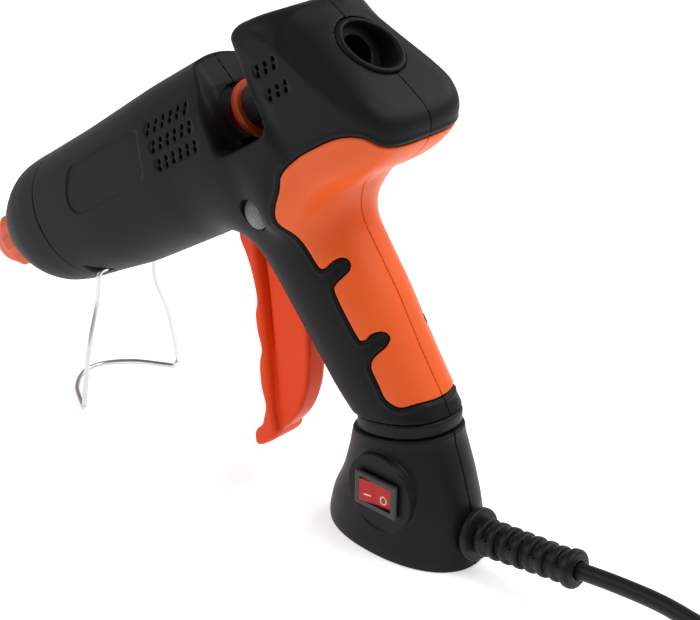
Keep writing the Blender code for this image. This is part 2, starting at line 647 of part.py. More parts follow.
def make_trigger():
    trigger = prism("trigger", FLANGE, -TRIGGER_Y, TRIGGER_Y, ORANGE)
    bevelled(trigger, 1.2)
    join(trigger, bevelled(prism("web", WEB, -WEB_Y, WEB_Y), 1.0))
    pin = Vector((PIN_X, 0, PIN_Z))
    fork_end = barrel(FORK_S, FORK_O)
    join(trigger, rod("hub", pin - ACROSS * (TRIGGER_Y + 0.4), pin + ACROSS * (TRIGGER_Y + 0.4), 4.2))
    arm = (fork_end - pin).normalized()
    side = Vector((-arm.z, 0, arm.x))
    arm_side = [pin - side * 3.4, pin + side * 3.4, fork_end + side * 2.8, fork_end + arm * 2.6 + side * 1.4,
                fork_end + arm * 2.6 - side * 1.4, fork_end - side * 2.8]
    join(trigger, prism("arm", [(p.x, p.z) for p in arm_side], -4.9, 4.9))
    slot = [fork_end - arm * 11 - side * 4, fork_end - arm * 11 + side * 4, fork_end + arm * 4 + side * 4,
            fork_end + arm * 4 - side * 4]
    cut(trigger, prism("fork", [(p.x, p.z) for p in slot], -3.0, 3.0))
    join(trigger, rod("fork_pin", fork_end - ACROSS * 4.6, fork_end + ACROSS * 4.6, 1.5, count=12))
    cut(trigger, rod("bore", pin - ACROSS * 20, pin + ACROSS * 20, 1.5 + GAP))
    rod("trigger_pin", pin - ACROSS * 13.4, pin + ACROSS * 13.4, 1.5, STEEL, 16)


# ---------------------------------------------------------------- stand

def arc(centre, start, finish, radius, u, v, count=6):
    """Points of an arc about centre, from one angle to another, in the plane of u and v."""
    return [centre + (u * cos(start + (finish - start) * i / count)
                      + v * sin(start + (finish - start) * i / count)) * radius for i in range(count + 1)]


def make_stand():
    """Bent steel wire: two ends in the barrel, splayed legs and a bowed foot bar on the ground."""
    foot_z = WIRE_R
    half = []
    half.append(Vector((STAND_X, 6.6, STAND_Z)))
    half.append(Vector((STAND_X, STAND_TOP_Y - 2.4, STAND_Z)))
    half += arc(Vector((STAND_X, STAND_TOP_Y - 2.4, STAND_Z - 2.4)), pi / 2, 0.1, 2.4, ACROSS,
                Vector((0, 0, 1)), 4)[1:]
    half.append(Vector((STAND_X - 0.6, STAND_TOP_Y + 1.2, STAND_Z - 14)))
    half.append(Vector((STAND_FOOT_X, STAND_FOOT_Y, foot_z + 5)))
    half.append(Vector((STAND_FOOT_X - 0.3, STAND_FOOT_Y, foot_z + 2.2)))
    half.append(Vector((STAND_FOOT_X - 1.4, STAND_FOOT_Y - 0.3, foot_z + 0.6)))
    half.append(Vector((STAND_FOOT_X - 3.2, STAND_FOOT_Y - 1.3, foot_z)))
    for i in range(1, 6):
        y = (STAND_FOOT_Y - 3.4) * (1 - i / 5)
        bow = STAND_BOW * (1 - (y / STAND_FOOT_Y) ** 2)
        half.append(Vector((STAND_FOOT_X - 2.0 - bow, y, foot_z)))
    other = [Vector((p.x, -p.y, p.z)) for p in reversed(half[:-1])]
    tube("wire_stand", half + other, WIRE_R, STEEL, 2)


# ---------------------------------------------------------------- base

BASE_STATIONS = ((0.0, -1.0, 31.6, 19.6), (2.0, -1.0, 32.2, 20.2), (12.0, -0.8, 30.4, 19.6),
                 (22.0, 0.5, 27.2, 18.4), (32.0, 0.2, 24.4, 17.4))
Z_AXIS = Vector((0, 0, 1))
X_AXIS = Vector((1, 0, 0))
PANEL_Y = -19.2
PANEL_R = 14.5


def base_form(name, inset=0.0, low=0.0, top=SKIRT_TOP):
    sections = [(Vector((x, 0, max(z, low))), ACROSS, X_AXIS, b - inset, a - inset, 2.2)
                for z, x, a, b in BASE_STATIONS]
    sections[0] = (Vector((BASE_STATIONS[0][1], 0, low)), *sections[0][1:])
    sections.append((Vector((-1.6, 0, neck_plane(top, -1.6))), ACROSS, NECK_ALONG, 16.2 - inset,
                     20.8 - inset, 2.2))
    return loft(name, sections)


def relief_axis(along, up=0.0, y=0.0):
    """A point of the cord's bush, along it from the base wall."""
    return Vector((RELIEF_X + along * cos(RELIEF_TILT) - up * sin(RELIEF_TILT), y,
                   RELIEF_Z + along * sin(RELIEF_TILT) + up * cos(RELIEF_TILT)))


def make_base():
    shell = base_form("base")
    panel = rod("panel", (SWITCH_X, -10, SWITCH_Z), (SWITCH_X, PANEL_Y, SWITCH_Z), PANEL_R, count=32)
    join(shell, panel)
    hollow = base_form("base_hollow", WALL, -1.0, SKIRT_TOP + 3)
    cut(shell, hollow)
    cut(shell,
        box("switch_way", (SWITCH_X, -18, SWITCH_Z), (BEZEL_W - 1.8, 12, BEZEL_H - 1.4)),
        rod("relief_way", relief_axis(-12), relief_axis(9), 5.6 + GAP),
        rod("relief_seat", relief_axis(1.6), relief_axis(30), 10.2))
    for name, side in (("base_left", -1), ("base_right", 1)):
        half = copy_of(shell, name, BLACK)
        cut(half, box("other_side", (0, -side * (60 - GAP / 2), 60), (220, 120, 260)))
    bpy.data.objects.remove(shell)
    x, deep, wide = BASE_STATIONS[0][1:]
    edge = WALL + GAP
    loft("base_plate", [(Vector((x, 0, z)), ACROSS, X_AXIS, wide - edge, deep - edge, 2.2)
                        for z in (0, PLATE_T)], BLACK)
    ring = [(Vector((-1.6, 0, neck_plane(z, -1.6))), ACROSS, NECK_ALONG, w, t, 2.2)
            for z, w, t in ((SKIRT_TOP + GAP, 15.6, 20.0), (RING_TOP, 15.6, 19.4))]
    neck = loft("neck_ring", ring, BLACK)
    cut(neck, rod("neck_bore", (-1, 0, 40), (-5, 0, 60), 9.4))


def make_relief():
    """A flange on the base, a ribbed tapering boot and an end ring, all one moulding."""
    profile = [(5.6, -5), (5.6, 1.6), (9.6, 1.9), (9.6, 4.2), (6.9, 5.2)]
    ribs = 7
    pitch = (RELIEF_L - 10) / ribs
    for i in range(ribs):
        h = 6.0 + i * pitch
        outer = 6.6 - 0.1 * i
        profile += [(outer, h), (outer, h + pitch * 0.55), (4.6, h + pitch * 0.62), (4.6, h + pitch * 0.93)]
    profile += [(6.9, RELIEF_L - 3.8), (6.9, RELIEF_L - 0.8), (6.2, RELIEF_L), (CORD_R + GAP, RELIEF_L),
                (CORD_R + GAP, -5)]
    turned("strain_relief", profile, relief_axis(0), (cos(RELIEF_TILT), 0, sin(RELIEF_TILT)), RUBBER,
           steps=24)


def make_switch():
    x0, z0 = SWITCH_X, SWITCH_Z
    frame = box("switch_frame", (x0, PANEL_Y - GAP - 0.8, z0), (BEZEL_W, 1.6, BEZEL_H), BLACK)
    bevelled(frame, 0.6)
    join(frame, box("switch_case", (x0, PANEL_Y + 6.4, z0), (BEZEL_W - 2.8, 14.4, BEZEL_H - 2.2)))
    cut(frame, box("rocker_room", (x0, PANEL_Y - 1, z0), (BEZEL_W - 4.6, 11, BEZEL_H - 4.2)))
    cut(frame, rod("axle_way", (x0, PANEL_Y + 0.4, z0 - 5.6), (x0, PANEL_Y + 0.4, z0 + 5.6), 0.9, count=12))
    rocker_outline = [(x0 - 6.6, PANEL_Y - 2.6), (x0, PANEL_Y - 1.2), (x0 + 6.6, PANEL_Y - 0.6),
                      (x0 + 6.4, PANEL_Y + 1.2), (x0 + 2.4, PANEL_Y + 2.6), (x0 - 2.4, PANEL_Y + 2.6),
                      (x0 - 6.4, PANEL_Y - 0.2)]
    rocker = prism("switch_rocker", [(x, y) for x, y in rocker_outline], -4.3, 4.3, RED)
    upright = Matrix.Translation((0, 0, z0 * MM)) @ Matrix.Rotation(-pi / 2, 4, "X")
    rocker.data.transform(upright)
    join(rocker, rod("axle", (x0, PANEL_Y + 0.4, z0 - 5.3), (x0, PANEL_Y + 0.4, z0 + 5.3), 0.6, count=12))
    for name, side in (("switch_terminal_line", -1), ("switch_terminal_load", 1)):
        box(name, (x0 + side * 4.5, PANEL_Y + 16.9, z0), (0.8, 6.0, 4.8), BRASS)


def make_lens():
    profile = [(0, 4.9), (2.6, 4.7), (4.6, 4.1), (LENS_R, 3.2), (LENS_R, -1.2), (4.4, -1.2), (4.4, 1.6),
               (0, 1.6)]
    turned("indicator_lens", profile, LENS + ACROSS * 3.6, -ACROSS, GREY, steps=24)
    rod("indicator_lamp", LENS + ACROSS * 2.3, LENS + ACROSS * 5.0, 2.2, GREY, 12)


# ---------------------------------------------------------------- lead

COIL_X, COIL_Y = 215.0, -14.0
COIL_R, COIL_W, COIL_H = 30.0, 22.0, 22.0
LEAD_ROUTE = [(90, -0.4, 21.2), (108, -2.2, 23.6), (126, -5.2, 24.8), (138, -3.6, 24.2), (150, 1.0, 21.6),
              (165, 7.6, 16.6), (180, 13.4, 12.4)]
TAIL_BEND = 24.0                # the lead's tightest bend, four of its diameters
PLUG_LENGTH = 36.0
PLUG_X = COIL_X + COIL_R - TAIL_BEND - PLUG_LENGTH - 4 * GAP
PLUG_Y, PLUG_Z = COIL_Y - TAIL_BEND, 30.5


def make_lead():
    start = relief_axis(RELIEF_L + GAP)
    route = smooth_path([start, *LEAD_ROUTE], 14)
    tube("cord", route, CORD_R, RUBBER, 2)
    ring = []
    for i in range(10):
        turn = 2 * pi * i / 10
        ring.append((COIL_R + COIL_W / 2 * cos(turn), COIL_H / 2 * (1 + sin(turn))))
    turned("cord_coil", ring, (COIL_X, COIL_Y, 0), Z_AXIS, RUBBER, steps=32)
    # The free end rises over the coil and bends round to the plug, which lies on the coil.
    tail = [Vector((COIL_X + COIL_R * cos(turn), COIL_Y + COIL_R * sin(turn), 25.6 + rise))
            for turn, rise in ((0.8, 0.0), (0.4, 0.3))]
    for i in range(5):
        turn = pi / 2 * i / 4
        tail.append(Vector((COIL_X + COIL_R - TAIL_BEND + TAIL_BEND * cos(turn),
                            COIL_Y - TAIL_BEND * sin(turn), PLUG_Z - 3.9 * (1 - i / 4) ** 2)))
    tail.append(tail[-1] - X_AXIS * 3 * GAP)
    tube("cord_tail", smooth_path(tail, 10), CORD_R, RUBBER, 2)


def make_plug():
    """A flat two-pin mains plug: a waisted body, and two pins part-sleeved in plastic."""
    stations = ((0, 17.2, 7.4), (1.5, 17.8, 8.0), (9, 17.6, 8.2), (16, 13.4, 7.6), (24, 9.0, 6.6),
                (34, 5.8, 5.6), (PLUG_LENGTH, 5.2, 5.0))
    loft("plug_body", [(Vector((PLUG_X + x, PLUG_Y, PLUG_Z)), ACROSS, Z_AXIS, wide, tall, 2.8)
                       for x, wide, tall in stations], RUBBER, count=24)
    for name, side in (("plug_pin_line", -1), ("plug_pin_neutral", 1)):
        root = Vector((PLUG_X - GAP, PLUG_Y + side * 9.5, PLUG_Z))
        rod(name, root, root - X_AXIS * 19, 2.0, BRASS, 16)


def make_wires():
    for name, side, spec in (("wire_live", -1, BROWN), ("wire_neutral", 1, BLUE)):
        route = smooth_path([(SWITCH_X + 8, side * 3.5, 14), (6, side * 3.5, 36), (-4, side * 3, 54),
                             handle(70, -3, side * 8), handle(95, -3, side * 9.5), handle(115, 0, side * 10.5),
                             barrel(8, -24, side * 13), barrel(-16, -24, side * 12), barrel(-40, -22, side * 9)],
                            6)
        tube(name, route, 1.1, spec, 1)


def make_screws():
    for i, centre in enumerate(SCREWS):
        screw = turned("housing_screw_%d" % (i + 1),
                       [(0, 2.0), (1.9, 1.8), (HEAD_R, 0.9), (HEAD_R, 0), (SCREW_R, 0),
                        (SCREW_R, SCREW_TIP_Y - HEAD_Y + 1), (0.4, SCREW_TIP_Y - HEAD_Y),
                        (0, SCREW_TIP_Y - HEAD_Y)],
                       centre + ACROSS * HEAD_Y, ACROSS, STEEL, steps=12)
        cut(screw, box("slot_a", centre + ACROSS * (HEAD_Y + 1.9), (3.4, 1.8, 0.7)))
        cut(screw, box("slot_b", centre + ACROSS * (HEAD_Y + 1.9), (0.7, 1.8, 3.4)))


make_housing()
make_grips()
make_nose()
make_heater()
make_feed()
make_trigger()
make_stand()
make_base()
make_relief()
make_switch()
make_lens()
make_lead()
make_plug()
make_wires()
make_screws()
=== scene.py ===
"""Visual model of the glue gun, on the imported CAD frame.

The moulded pieces are made as distance fields, meshed on a fine grid: a field is negative inside.
Lengths are in millimetres until a mesh is written.  A place in the barrel's frame is (s, o): s along
the stick axis towards the rear, o square to it, upwards.
"""
import json
import bpy
import bmesh
import numpy as np
from math import atan2, cos, pi, radians, sin
from mathutils import Matrix, Vector


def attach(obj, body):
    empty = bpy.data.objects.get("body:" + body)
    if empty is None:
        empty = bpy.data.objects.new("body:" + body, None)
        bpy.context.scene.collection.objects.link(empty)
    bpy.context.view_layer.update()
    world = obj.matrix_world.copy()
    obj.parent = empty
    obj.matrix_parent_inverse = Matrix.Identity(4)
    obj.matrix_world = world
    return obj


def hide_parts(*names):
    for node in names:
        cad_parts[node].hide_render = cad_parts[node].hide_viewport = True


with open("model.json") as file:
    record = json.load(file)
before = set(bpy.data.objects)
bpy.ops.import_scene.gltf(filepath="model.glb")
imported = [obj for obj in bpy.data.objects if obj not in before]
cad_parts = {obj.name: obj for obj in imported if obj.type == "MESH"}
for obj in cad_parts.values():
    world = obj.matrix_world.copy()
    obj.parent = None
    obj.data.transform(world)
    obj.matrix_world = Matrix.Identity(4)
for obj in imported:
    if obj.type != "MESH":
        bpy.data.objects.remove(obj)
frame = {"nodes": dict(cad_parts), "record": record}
MM = 0.001
GAP = 0.3
WALL = 2.6
PITCH = radians(34)
AXIS_RISE = 161.0
LEAN = radians(37)
HANDLE_AT = 25.5
NECK_RISE = radians(12)
CORD_R = 3.0
RELIEF_TILT = radians(7)
RELIEF_X, RELIEF_Z, RELIEF_L = 28.5, 13.4, 46.0


# ---------------------------------------------------------------- places

def barrel(s, o=0.0, y=0.0):
    rise = AXIS_RISE + o
    return Vector((s * cos(PITCH) - rise * sin(PITCH), y, s * sin(PITCH) + rise * cos(PITCH)))


def to_barrel(x, z):
    return x * cos(PITCH) + z * sin(PITCH), z * cos(PITCH) - x * sin(PITCH) - AXIS_RISE


def handle(up, back):
    """A place in the middle plane of the handle: up along it, and back from its middle line."""
    return Vector((-sin(LEAN) * up + cos(LEAN) * (HANDLE_AT + back), 0,
                   cos(LEAN) * up + sin(LEAN) * (HANDLE_AT + back)))


def relief_axis(along, up=0.0, y=0.0):
    return Vector((RELIEF_X + along * cos(RELIEF_TILT) - up * sin(RELIEF_TILT), y,
                   RELIEF_Z + along * sin(RELIEF_TILT) + up * cos(RELIEF_TILT)))


def to_relief(x, z):
    return ((x - RELIEF_X) * cos(RELIEF_TILT) + (z - RELIEF_Z) * sin(RELIEF_TILT),
            (z - RELIEF_Z) * cos(RELIEF_TILT) - (x - RELIEF_X) * sin(RELIEF_TILT))


def neck_plane(rise, x):
    return rise + x * np.tan(NECK_RISE)


# ---------------------------------------------------------------- camera

def make_camera():
    azimuth, elevation, roll = radians(42.02), radians(26.68), radians(1.14)
    target, distance = Vector((-0.030726, 0, 0.079011)), 0.630
    back = Vector((sin(azimuth) * cos(elevation), -cos(azimuth) * cos(elevation), sin(elevation)))
    right = Vector((cos(azimuth), sin(azimuth), 0))
    up = back.cross(right)
    across = right * cos(roll) + up * sin(roll)
    above = up * cos(roll) - right * sin(roll)
    data = bpy.data.cameras.new("camera")
    data.sensor_width = 36
    data.lens = 91.88
    data.clip_start = 0.05
    camera = bpy.data.objects.new("camera", data)
    place = target + back * distance
    camera.matrix_world = Matrix((across, above, back)).transposed().to_4x4()
    camera.location = place
    bpy.context.scene.collection.objects.link(camera)
    bpy.context.scene.camera = camera


# ---------------------------------------------------------------- materials

def plastic(name, colour, rough, grain=0.0, grain_size=0.35, level=0.5, coat=0.0):
    """A moulded plastic; grain is the depth of its fine spark-eroded texture in millimetres."""
    made = bpy.data.materials.new(name)
    made.use_nodes = True
    nodes, links = made.node_tree.nodes, made.node_tree.links
    shader = nodes["Principled BSDF"]
    shader.inputs["Base Color"].default_value = (*colour, 1)
    shader.inputs["Roughness"].default_value = rough
    shader.inputs["Specular IOR Level"].default_value = level
    shader.inputs["Coat Weight"].default_value = coat
    if grain:
        where = nodes.new("ShaderNodeTexCoord")
        noise = nodes.new("ShaderNodeTexNoise")
        noise.inputs["Scale"].default_value = 1000 / grain_size
        noise.inputs["Detail"].default_value = 2
        bump = nodes.new("ShaderNodeBump")
        bump.inputs["Distance"].default_value = grain * MM
        bump.inputs["Strength"].default_value = 0.6
        links.new(where.outputs["Object"], noise.inputs["Vector"])
        links.new(noise.outputs["Fac"], bump.inputs["Height"])
        links.new(bump.outputs["Normal"], shader.inputs["Normal"])
    return made


def metal(name, colour, rough):
    made = plastic(name, colour, rough)
    made.node_tree.nodes["Principled BSDF"].inputs["Metallic"].default_value = 1.0
    return made


def lens_material():
    """Grey plastic with a grid of small raised squares; painted shade darkens the grooves, so the squares
    are lighter than the grooves.
    """
    made = plastic("grey_lens", (0.2, 0.17, 0.165), 0.25)
    nodes, links = made.node_tree.nodes, made.node_tree.links
    where = nodes.new("ShaderNodeTexCoord")
    split = nodes.new("ShaderNodeSeparateXYZ")
    links.new(where.outputs["Object"], split.inputs["Vector"])
    waves = []
    for axis in ("X", "Z"):
        scale = nodes.new("ShaderNodeMath")
        scale.operation = "MULTIPLY"
        scale.inputs[1].default_value = 2 * pi / (1.25 * MM)
        wave = nodes.new("ShaderNodeMath")
        wave.operation = "SINE"
        links.new(split.outputs[axis], scale.inputs[0])
        links.new(scale.outputs[0], wave.inputs[0])
        waves.append(wave)
    both = nodes.new("ShaderNodeMath")
    both.operation = "MULTIPLY"
    bump = nodes.new("ShaderNodeBump")
    bump.inputs["Distance"].default_value = 0.35 * MM
    links.new(waves[0].outputs[0], both.inputs[0])
    links.new(waves[1].outputs[0], both.inputs[1])
    links.new(both.outputs[0], bump.inputs["Height"])
    # painted shade: the colour follows the bump height, darker in the grooves and lighter on the raised
    # squares
    painted_groove_shade = nodes.new("ShaderNodeMapRange")
    painted_groove_shade.inputs["From Min"].default_value = -1
    painted_groove_shade.inputs["From Max"].default_value = 1
    painted_groove_shade.inputs["To Min"].default_value = 0.12
    painted_groove_shade.inputs["To Max"].default_value = 0.30
    colour = nodes.new("ShaderNodeCombineColor")
    links.new(both.outputs[0], painted_groove_shade.inputs["Value"])
    for channel in ("Red", "Green", "Blue"):
        links.new(painted_groove_shade.outputs[0], colour.inputs[channel])
    shader = nodes["Principled BSDF"]
    links.new(colour.outputs[0], shader.inputs["Base Color"])
    links.new(bump.outputs["Normal"], shader.inputs["Normal"])
    return made


BLACK = plastic("black_plastic", (0.0085, 0.0085, 0.009), 0.48, grain=0.05, level=0.1)
BASE_BLACK = plastic("base_plastic", (0.0085, 0.0085, 0.009), 0.44, grain=0.09, grain_size=0.5, level=0.13)
INNER_BLACK = plastic("inner_plastic", (0.012, 0.012, 0.012), 0.45)
ORANGE = plastic("orange_grip", (0.78, 0.11, 0.018), 0.42, grain=0.03, grain_size=0.3, level=0.25)
TRIGGER_ORANGE = plastic("orange_trigger", (0.84, 0.062, 0.009), 0.4, grain=0.015, level=0.12)
SILICONE = plastic("orange_silicone", (0.72, 0.09, 0.015), 0.45, level=0.4)
RED = plastic("red_rocker", (0.46, 0.014, 0.009), 0.25, level=0.25)
RUBBER = plastic("cord_rubber", (0.009, 0.009, 0.0095), 0.42, grain=0.01, level=0.18)
MARK = plastic("pale_mark", (0.75, 0.6, 0.55), 0.4)
CERAMIC = plastic("white_ceramic", (0.75, 0.73, 0.68), 0.6)
BLUE = plastic("blue_wire", (0.04, 0.12, 0.5), 0.4)
BROWN = plastic("brown_wire", (0.2, 0.07, 0.03), 0.4)
STEEL = metal("bright_steel", (0.72, 0.72, 0.72), 0.3)
ALUMINIUM = metal("cast_aluminium", (0.55, 0.55, 0.56), 0.4)
BRASS = metal("brass", (0.6, 0.42, 0.16), 0.3)
LENS_GREY = lens_material()


# ---------------------------------------------------------------- fields

def smooth_min(a, b, k):
    h = np.clip(0.5 + 0.5 * (b - a) / k, 0, 1)
    return b + (a - b) * h - k * h * (1 - h)


def smooth_max(a, b, k):
    return -smooth_min(-a, -b, k)


def ramp(value, low, high):
    t = np.clip((value - low) / (high - low), 0, 1)
    return t * t * (3 - 2 * t)


def oval(u, v, wide, tall, power):
    """Distance to a superellipse cylinder, good near its surface."""
    q = (np.abs(u / wide) ** power + np.abs(v / tall) ** power) ** (1 / power)
    return (q - 1) * np.minimum(wide, tall)


def stations(table, width=16):
    """Reads stations (at, value, value...) as smooth functions of their first column."""
    table = np.array(sorted(table), dtype=float)
    at = np.arange(table[0, 0] - 40, table[-1, 0] + 40, 1.0)
    window = np.hanning(width + 2)[1:-1]
    window /= window.sum()
    columns = []
    for column in table[:, 1:].T:
        line = np.interp(at, table[:, 0], column)
        padded = np.pad(line, width, mode="edge")
        columns.append(np.convolve(padded, window, mode="same")[width:-width])
    return lambda x: [np.interp(x, at, line) for line in columns]


def smooth_path(points, spacing, closed=False):
    """A Catmull-Rom curve through the points, read every spacing millimetres or so."""
    points = [Vector(p) for p in points]
    if closed:
        ends = [points[-1], *points, points[0], points[1]]
    else:
        ends = [points[0] * 2 - points[1], *points, points[-1] * 2 - points[-2]]
    path = []
    for a, b, c, d in zip(ends, ends[1:], ends[2:], ends[3:]):
        count = max(1, round((c - b).length / spacing))
        for i in range(count):
            t = i / count
            path.append((2 * b + (c - a) * t + (2 * a - 5 * b + 4 * c - d) * t ** 2
                         + (3 * b - a - 3 * c + d) * t ** 3) / 2)
    return path if closed else path + [points[-1]]


class Outline:
    """The signed distance to a closed outline, looked up in a fine table."""

    STEP = 0.25
    MARGIN = 14.0

    def __init__(self, points, smooth=True):
        if smooth:
            points = smooth_path(points, 1.5, closed=True)
        p = np.array([tuple(q)[:2] for q in points])
        self.low = p.min(axis=0) - self.MARGIN
        count = np.ceil((p.max(axis=0) + self.MARGIN - self.low) / self.STEP).astype(int) + 1
        u = self.low[0] + self.STEP * np.arange(count[0])[:, None]
        v = self.low[1] + self.STEP * np.arange(count[1])[None, :]
        best = np.full(count, 1e9)
        inside = np.zeros(count, dtype=bool)
        for (ax, ay), (bx, by) in zip(p, np.roll(p, -1, axis=0)):
            dx, dy = bx - ax, by - ay
            t = np.clip(((u - ax) * dx + (v - ay) * dy) / (dx * dx + dy * dy), 0, 1)
            best = np.minimum(best, (u - ax - t * dx) ** 2 + (v - ay - t * dy) ** 2)
            if ay != by:
                crosses = (v >= min(ay, by)) & (v < max(ay, by))
                inside ^= crosses & (u < ax + (v - ay) * dx / dy)
        self.table = (np.sqrt(best) * np.where(inside, -1, 1)).astype(np.float32)

    def __call__(self, u, v):
        a = np.clip((u - self.low[0]) / self.STEP, 0, self.table.shape[0] - 1.001)
        b = np.clip((v - self.low[1]) / self.STEP, 0, self.table.shape[1] - 1.001)
        i, j = a.astype(int), b.astype(int)
        a, b = a - i, b - j
        t = self.table
        return ((t[i, j] * (1 - a) + t[i + 1, j] * a) * (1 - b)
                + (t[i, j + 1] * (1 - a) + t[i + 1, j + 1] * a) * b)


# ---------------------------------------------------------------- meshing

def surface(field, low, high, step, passes=2):
    """Surface nets: vertices and quads of the field's zero surface, pulled onto it."""
    low, high = np.array(low, float), np.array(high, float)
    counts = np.ceil((high - low) / step).astype(int) + 1
    axes = [low[i] + step * np.arange(counts[i]) for i in range(3)]
    coarse = 4
    parts = [axis[::coarse] for axis in axes]
    cx, cy, cz = np.meshgrid(*parts, indexing="ij")
    rough = field(cx.ravel(), cy.ravel(), cz.ravel()).reshape(cx.shape)
    spread = rough
    for axis in range(3):
        spread = spread.repeat(coarse, axis=axis)
    spread = spread[:counts[0], :counts[1], :counts[2]]
    values = np.where(spread < 0, -9.0, 9.0).astype(np.float32)
    near = np.abs(spread) < coarse * step * 1.8 + 1.0
    i, j, k = np.nonzero(near)
    values[i, j, k] = field(axes[0][i], axes[1][j], axes[2][k])
    inside = values < 0
    cells = np.zeros([n - 1 for n in counts], dtype=bool)
    corners = [(a, b, c) for a in (0, 1) for b in (0, 1) for c in (0, 1)]
    shape = cells.shape

    def corner(array, at):
        return array[at[0]:at[0] + shape[0], at[1]:at[1] + shape[1], at[2]:at[2] + shape[2]]

    first = corner(inside, (0, 0, 0))
    for at in corners[1:]:
        cells |= corner(inside, at) != first
    number = np.full(shape, -1, dtype=np.int64)
    ci, cj, ck = np.nonzero(cells)
    number[ci, cj, ck] = np.arange(len(ci))
    total = np.zeros((len(ci), 3))
    hits = np.zeros(len(ci))
    for at in corners:
        for axis in range(3):
            if at[axis]:
                continue
            to = list(at)
            to[axis] = 1
            fa = values[ci + at[0], cj + at[1], ck + at[2]]
            fb = values[ci + to[0], cj + to[1], ck + to[2]]
            cross = (fa < 0) != (fb < 0)
            t = np.where(cross, fa / np.where(cross, fa - fb, 1), 0)
            point = np.tile(np.array(at, float), (len(ci), 1))
            point[:, axis] += t
            total += point * cross[:, None]
            hits += cross
    verts = low + (np.stack((ci, cj, ck), axis=1) + total / hits[:, None]) * step
    quads = []
    for axis in range(3):
        u, v = (axis + 1) % 3, (axis + 2) % 3
        size = list(counts)
        size[axis] -= 1
        a = inside[tuple(slice(0, n) for n in size)]
        shifted = [slice(0, n) for n in size]
        shifted[axis] = slice(1, size[axis] + 1)
        b = inside[tuple(shifted)]
        edges = np.stack(np.nonzero(a != b), axis=1)
        edges = edges[(edges[:, u] > 0) & (edges[:, v] > 0)
                      & (edges[:, u] < shape[u]) & (edges[:, v] < shape[v])]
        flip = ~a[edges[:, 0], edges[:, 1], edges[:, 2]]
        ring = []
        for du, dv in ((1, 1), (0, 1), (0, 0), (1, 0)):
            cell = edges.copy()
            cell[:, u] -= du
            cell[:, v] -= dv
            ring.append(number[cell[:, 0], cell[:, 1], cell[:, 2]])
        quad = np.stack(ring, axis=1)
        quad[flip] = quad[flip][:, ::-1]
        quads.append(quad)
    quads = np.concatenate(quads)
    quads = quads[(quads >= 0).all(axis=1)]
    tiny = 0.05
    for _ in range(passes):
        x, y, z = verts.T
        here = field(x, y, z)
        slope = np.stack((field(x + tiny, y, z) - here, field(x, y + tiny, z) - here,
                          field(x, y, z + tiny) - here), axis=1) / tiny
        size = np.maximum((slope ** 2).sum(axis=1), 0.3)
        move = -(here / size)[:, None] * slope
        reach = np.linalg.norm(move, axis=1, keepdims=True)
        verts = verts + move * np.minimum(1, 0.5 * step / np.maximum(reach, 1e-9))
    return verts, quads


def mesh_object(name, verts, faces, material, angle=40):
    mesh = bpy.data.meshes.new(name)
    mesh.vertices.add(len(verts))
    mesh.vertices.foreach_set("co", (np.asarray(verts) * MM).astype(np.float32).ravel())
    mesh.loops.add(faces.size)
    mesh.polygons.add(len(faces))
    mesh.polygons.foreach_set("loop_start", np.arange(0, faces.size, 4, dtype=np.int32))
    mesh.loops.foreach_set("vertex_index", faces.astype(np.int32).ravel())
    mesh.update(calc_edges=True)
    mesh.validate()
    mesh.shade_smooth()
    mesh.set_sharp_from_angle(angle=radians(angle))
    mesh.materials.append(material)
    obj = bpy.data.objects.new(name, mesh)
    bpy.context.scene.collection.objects.link(obj)
    return obj


STEP = 0.5


def moulded(name, field, low, high, material, body, node, step=STEP, angle=40):
    """Meshes a field, and lets it stand for a CAD node on its body."""
    obj = mesh_object(name, *surface(field, low, high, step), material, angle)
    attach(obj, body)
    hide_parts(node)
    return obj


# ---------------------------------------------------------------- housing

COLLAR_S = -100.0
BARREL = stations(((COLLAR_S, -3.0, 25.9, 27.2), (-72, -4.6, 26.6, 28.8), (-27, -4.9, 27.0, 30.2),
                   (11, -4.9, 26.4, 29.8), (40, -5.0, 24.4, 28.0)))
HUMP = Outline([(-47.4, 147), (-54.4, 157.5), (-60, 165.8), (-66, 171.2), (-68.2, 175.3), (-66.5, 179),
                (-60.5, 182.8), (-52, 186.8), (-46, 188.8), (-41, 188), (-24, 178), (-8, 168.7),
                (0, 163.4), (3.4, 158.5), (3.2, 152.5), (-1.5, 146.5), (-10, 140.5), (-20, 135),
                (-29, 129), (-38, 121), (-48, 115), (-54, 130)])
HUMP_W = 24.5
HUMP_TOP_X, HUMP_TOP_Z = -46.0, 188.8
REAR_FACE = (0.875, -0.483)     # the way down the hump's rear face, whose lower end is rounded
SEAM = 0.05                     # half the parting line
GUIDE_END, GUIDE_WAY, GUIDE_STEP = 65.0, 71, 71.3
HANDLE = stations(((43, 3.4, 16.0, 18.0), (58, 2.2, 16.6, 19.6), (80, 2.0, 16.8, 21.6),
                   (104, 1.0, 17.4, 22.4), (124, -0.4, 18.6, 24.1), (140, 0.8, 20.0, 26.0)), width=12)
GRIP = Outline([(-41, 129), (-40, 135), (-34, 142), (-26, 148), (-16, 154), (-7, 156), (0, 153),
                (14, 152), (40, 120), (36, 76), (18, 63), (10, 61), (5, 59.2), (0, 61), (-3, 65),
                (-7, 71), (-6.5, 74.5), (-4, 78.5), (-4.4, 81.6), (-7, 83), (-9.6, 81.5), (-12, 79),
                (-19, 87), (-24, 94), (-24, 96.5), (-21, 101.5), (-22, 104.4), (-24.2, 105.4),
                (-26.5, 104), (-29.5, 100.5), (-33, 103), (-38, 109), (-43, 116), (-43, 122)])
TRIGGER_WAY = Outline([(-93, 84), (-82, 99), (-76, 116), (-60, 116), (-57, 100), (-60, 88), (-70, 70)],
                      smooth=False)
WEB_WAY = Outline([(-66, 100), (-58, 70), (-42, 40), (-26.5, 47), (-30, 66), (-40, 90), (-56, 108)],
                  smooth=False)
LENS_X, LENS_Z, LENS_R = -57.4, 113.9, 5.7
NECK_SEAM, RING_TOP, SKIRT_TOP = 51.8, 51.5, 45.5
STAND_X, STAND_Z = -151.0, 58.6
